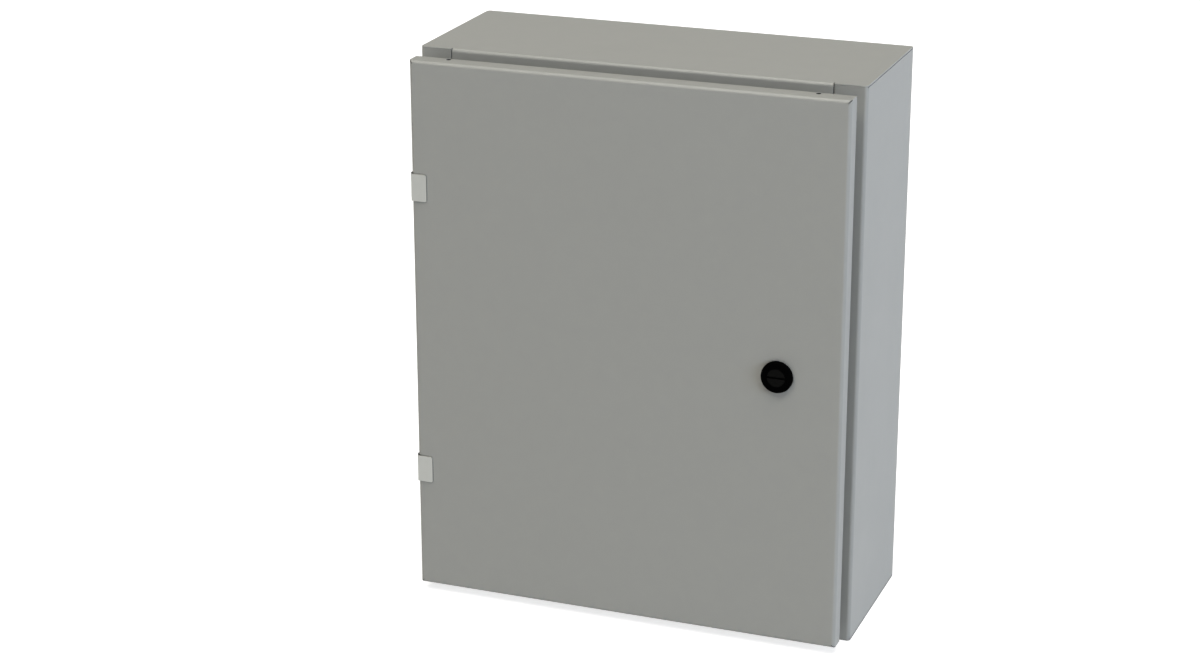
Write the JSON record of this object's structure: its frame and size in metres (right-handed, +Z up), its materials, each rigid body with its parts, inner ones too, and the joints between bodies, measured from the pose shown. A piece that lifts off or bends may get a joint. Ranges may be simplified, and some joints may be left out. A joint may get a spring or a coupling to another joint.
{
  "type": "electrical enclosure",
  "caption": "Wall-mounted box of folded sheet steel with a side-hinged door, a collar and gasket round the opening, a slotted quarter-turn latch and an inner panel for electrical equipment.",
  "frame": {"origin": "middle of the body's bottom face, in width and in depth without the door", "axes": "+X to the viewer's right of the closed door, +Y back towards the wall, +Z up"},
  "size_m": [0.406, 0.1922, 0.5085],
  "materials": {
    "body_paint": "smooth grey powder coat, semi-gloss",
    "hinge_steel": "bare stainless sheet, satin",
    "black_steel": "blackened steel",
    "latch_black": "black moulded plastic",
    "gasket_foam": "dark foamed-in-place gasket",
    "panel_white": "white powder coat",
    "zinc_plate": "bright zinc plate",
    "copper_stud": "copper-flashed weld stud"
  },
  "bodies": {
    "enclosure": {"body_wrap": "body_paint", "top_cap": "body_paint", "bottom_cap": "body_paint", "upper_hinge_body_leaf": "hinge_steel", "lower_hinge_body_leaf": "hinge_steel", "hinge_body_nuts": "zinc_plate", "mounting_panel": "panel_white", "panel_studs": "copper_stud", "panel_washers": "zinc_plate", "panel_nuts": "zinc_plate", "body_ground_stud": "copper_stud", "body_ground_washer": "zinc_plate", "body_ground_nut": "zinc_plate"},
    "door": {"door_panel": "body_paint", "door_gasket": "gasket_foam", "upper_hinge_door_leaf": "hinge_steel", "lower_hinge_door_leaf": "hinge_steel", "upper_hinge_pin": "black_steel", "lower_hinge_pin": "black_steel", "hinge_door_nuts": "zinc_plate", "latch_housing": "latch_black", "latch_seal": "gasket_foam", "latch_nut": "zinc_plate", "door_ground_stud": "copper_stud", "door_ground_washer": "zinc_plate", "door_ground_nut": "zinc_plate"},
    "latch": {"latch_insert": "latch_black", "latch_cam": "zinc_plate", "latch_cam_washer": "zinc_plate", "latch_cam_screw": "zinc_plate"}
  },
  "joints": [
    {"name": "door_swing", "type": "hinge", "parent": "enclosure", "child": "door", "pos_m": [-0.19896, -0.1065, 0.2561], "axis": [0, 0, -1], "range_deg": [0, 130]},
    {"name": "latch_turn", "type": "hinge", "parent": "door", "child": "latch", "pos_m": [0.141, -0.1112, 0.2561], "axis": [0, 1, 0], "range_deg": [0, 90]}
  ]
}
